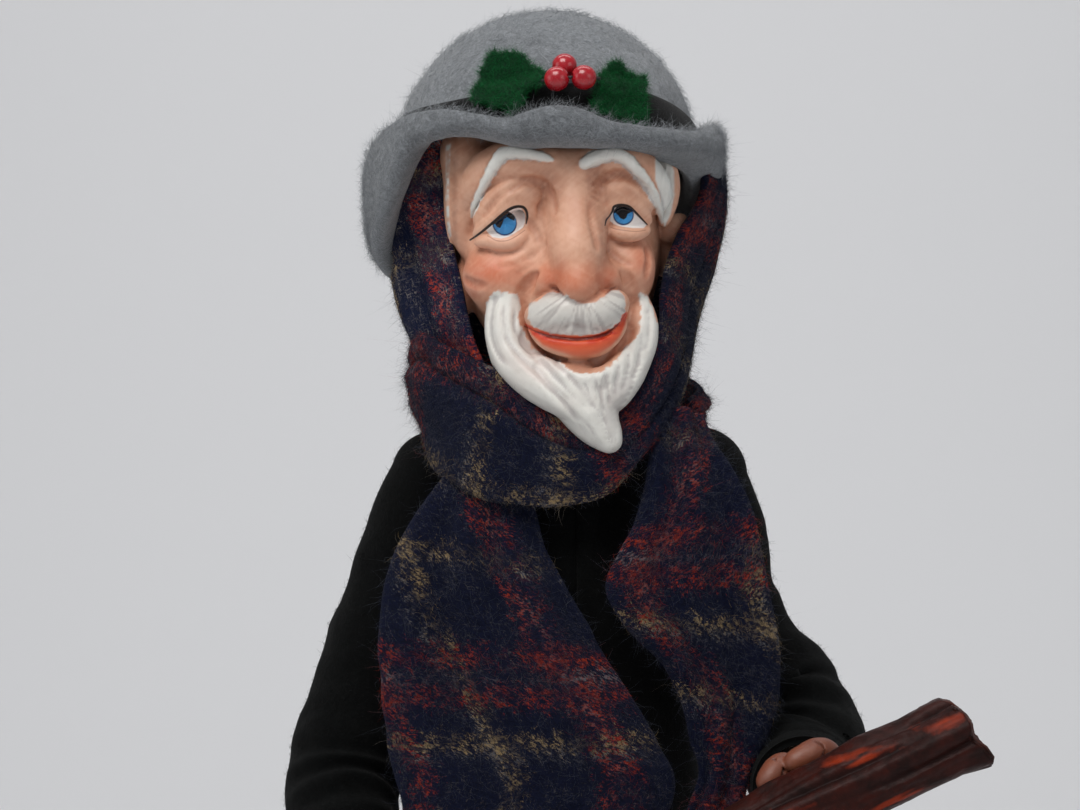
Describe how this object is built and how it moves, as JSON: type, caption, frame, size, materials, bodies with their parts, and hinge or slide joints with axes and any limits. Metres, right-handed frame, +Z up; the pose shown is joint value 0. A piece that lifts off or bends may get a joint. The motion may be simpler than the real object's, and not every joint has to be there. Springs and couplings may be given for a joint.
{
  "type": "caroler doll",
  "caption": "Standing caroler figure of an old bearded man in felt hat, long coat and plaid wool scarf, carrying a log in both arms, on a flat wooden stand.",
  "frame": {"origin": "middle of the stand's flat underside", "axes": "+Z up through the head, the face looks along -Y, +X is the doll's own left"},
  "size_m": [0.1307, 0.0985, 0.3304],
  "materials": {
    "stand": "satin black paint",
    "wire": "bare steel wire",
    "paper": "wound tissue paper",
    "trousers": "matt wool felt",
    "shoes": "black painted clay, satin",
    "coat": "matt black felt",
    "painted_clay": "painted modelling clay, satin",
    "hands": "painted modelling clay, satin",
    "log": "red-brown paint with orange dry brushing",
    "hat_felt": "pressed wool felt, fuzzy",
    "band": "black felt strip",
    "leaf": "green felt",
    "berry": "red lacquer, semi-gloss",
    "thread": "black thread",
    "scarf": "brushed wool plaid in navy, red, grey and tan"
  },
  "bodies": {
    "figure": {"stand": "stand", "leg_wire": "wire", "neck_rod": "wire", "paper_body": "paper", "trousers": "trousers", "right_leg_padding": "paper", "left_leg_padding": "paper", "right_shoe": "shoes", "left_shoe": "shoes", "coat_back": "coat", "coat_front_right": "coat", "coat_front_left": "coat", "scarf_neck_wrap": "scarf", "scarf_right_end": "scarf", "scarf_left_end": "scarf"},
    "head": {"head": "painted_clay", "hat": "hat_felt", "hat_band": "band", "holly_leaf_right": "leaf", "holly_leaf_left": "leaf", "berry_1": "berry", "berry_2": "berry", "berry_3": "berry", "berry_thread": "thread", "scarf_hood": "scarf"},
    "arms": {"arm_wire": "wire", "right_sleeve": "coat", "left_sleeve": "coat", "right_arm_padding": "paper", "left_arm_padding": "paper", "right_hand": "hands", "left_hand": "hands", "log": "log"}
  },
  "joints": [
    {"name": "head_turn", "type": "hinge", "parent": "figure", "child": "head", "pos_m": [0, 0.0032, 0.25], "axis": [0, 0, 1], "range_deg": [-12, 12]},
    {"name": "arms_lift", "type": "hinge", "parent": "figure", "child": "arms", "pos_m": [0, 0.0064, 0.238], "axis": [-1, 0, 0], "range_deg": [-3, 10]}
  ]
}
